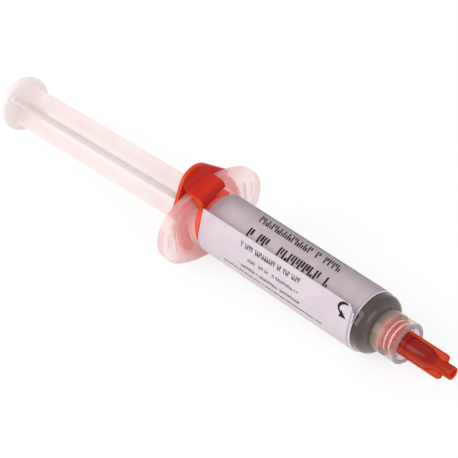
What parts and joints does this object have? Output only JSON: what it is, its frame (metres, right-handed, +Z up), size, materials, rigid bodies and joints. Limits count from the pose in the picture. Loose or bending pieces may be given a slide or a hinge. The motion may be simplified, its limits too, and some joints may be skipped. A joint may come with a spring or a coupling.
{
  "type": "solder paste syringe",
  "caption": "Filled dispensing syringe with winged flange, cruciform plunger, slide-on flange clip, paper labels and a winged luer tip cap.",
  "frame": {"origin": "on the ground under the middle of the syringe's length", "axes": "+X towards the tip, +Z up, +Y across the flange away from the booklet's free edge"},
  "size_m": [0.151, 0.032, 0.0262],
  "materials": {
    "barrel_plastic": "translucent",
    "paste": "satin paste",
    "piston_plastic": "matte",
    "plunger_plastic": "translucent",
    "clip_plastic": "gloss",
    "cap_plastic": "translucent gloss",
    "label_paper": "satin",
    "booklet_paper": "satin"
  },
  "bodies": {
    "barrel": {"barrel": "barrel_plastic", "flange_clip": "clip_plastic", "base_label": "label_paper", "booklet_label": "booklet_paper", "solder_paste": "paste"},
    "piston": {"piston": "piston_plastic"},
    "plunger": {"plunger": "plunger_plastic"},
    "tip_cap": {"tip_cap": "cap_plastic"}
  },
  "joints": [
    {"name": "plunger_slide", "type": "slide", "parent": "barrel", "child": "piston", "axis": [0.9987, 0, -0.0519], "range_m": [0, 0.045], "deforming": ["solder_paste"]},
    {"name": "plunger_rock", "type": "hinge", "parent": "piston", "child": "plunger", "pos_m": [0.00312, 0, 0.01038], "axis": [0, 1, 0], "range_deg": [0, 2.8]},
    {"name": "cap_off", "type": "slide", "parent": "barrel", "child": "tip_cap", "axis": [0.9987, 0, -0.0519], "range_m": [0, 0.03]}
  ],
  "couplings": [
    {"joint": "plunger_rock", "follows": "plunger_slide", "rad_per_m": 1.0859}
  ]
}
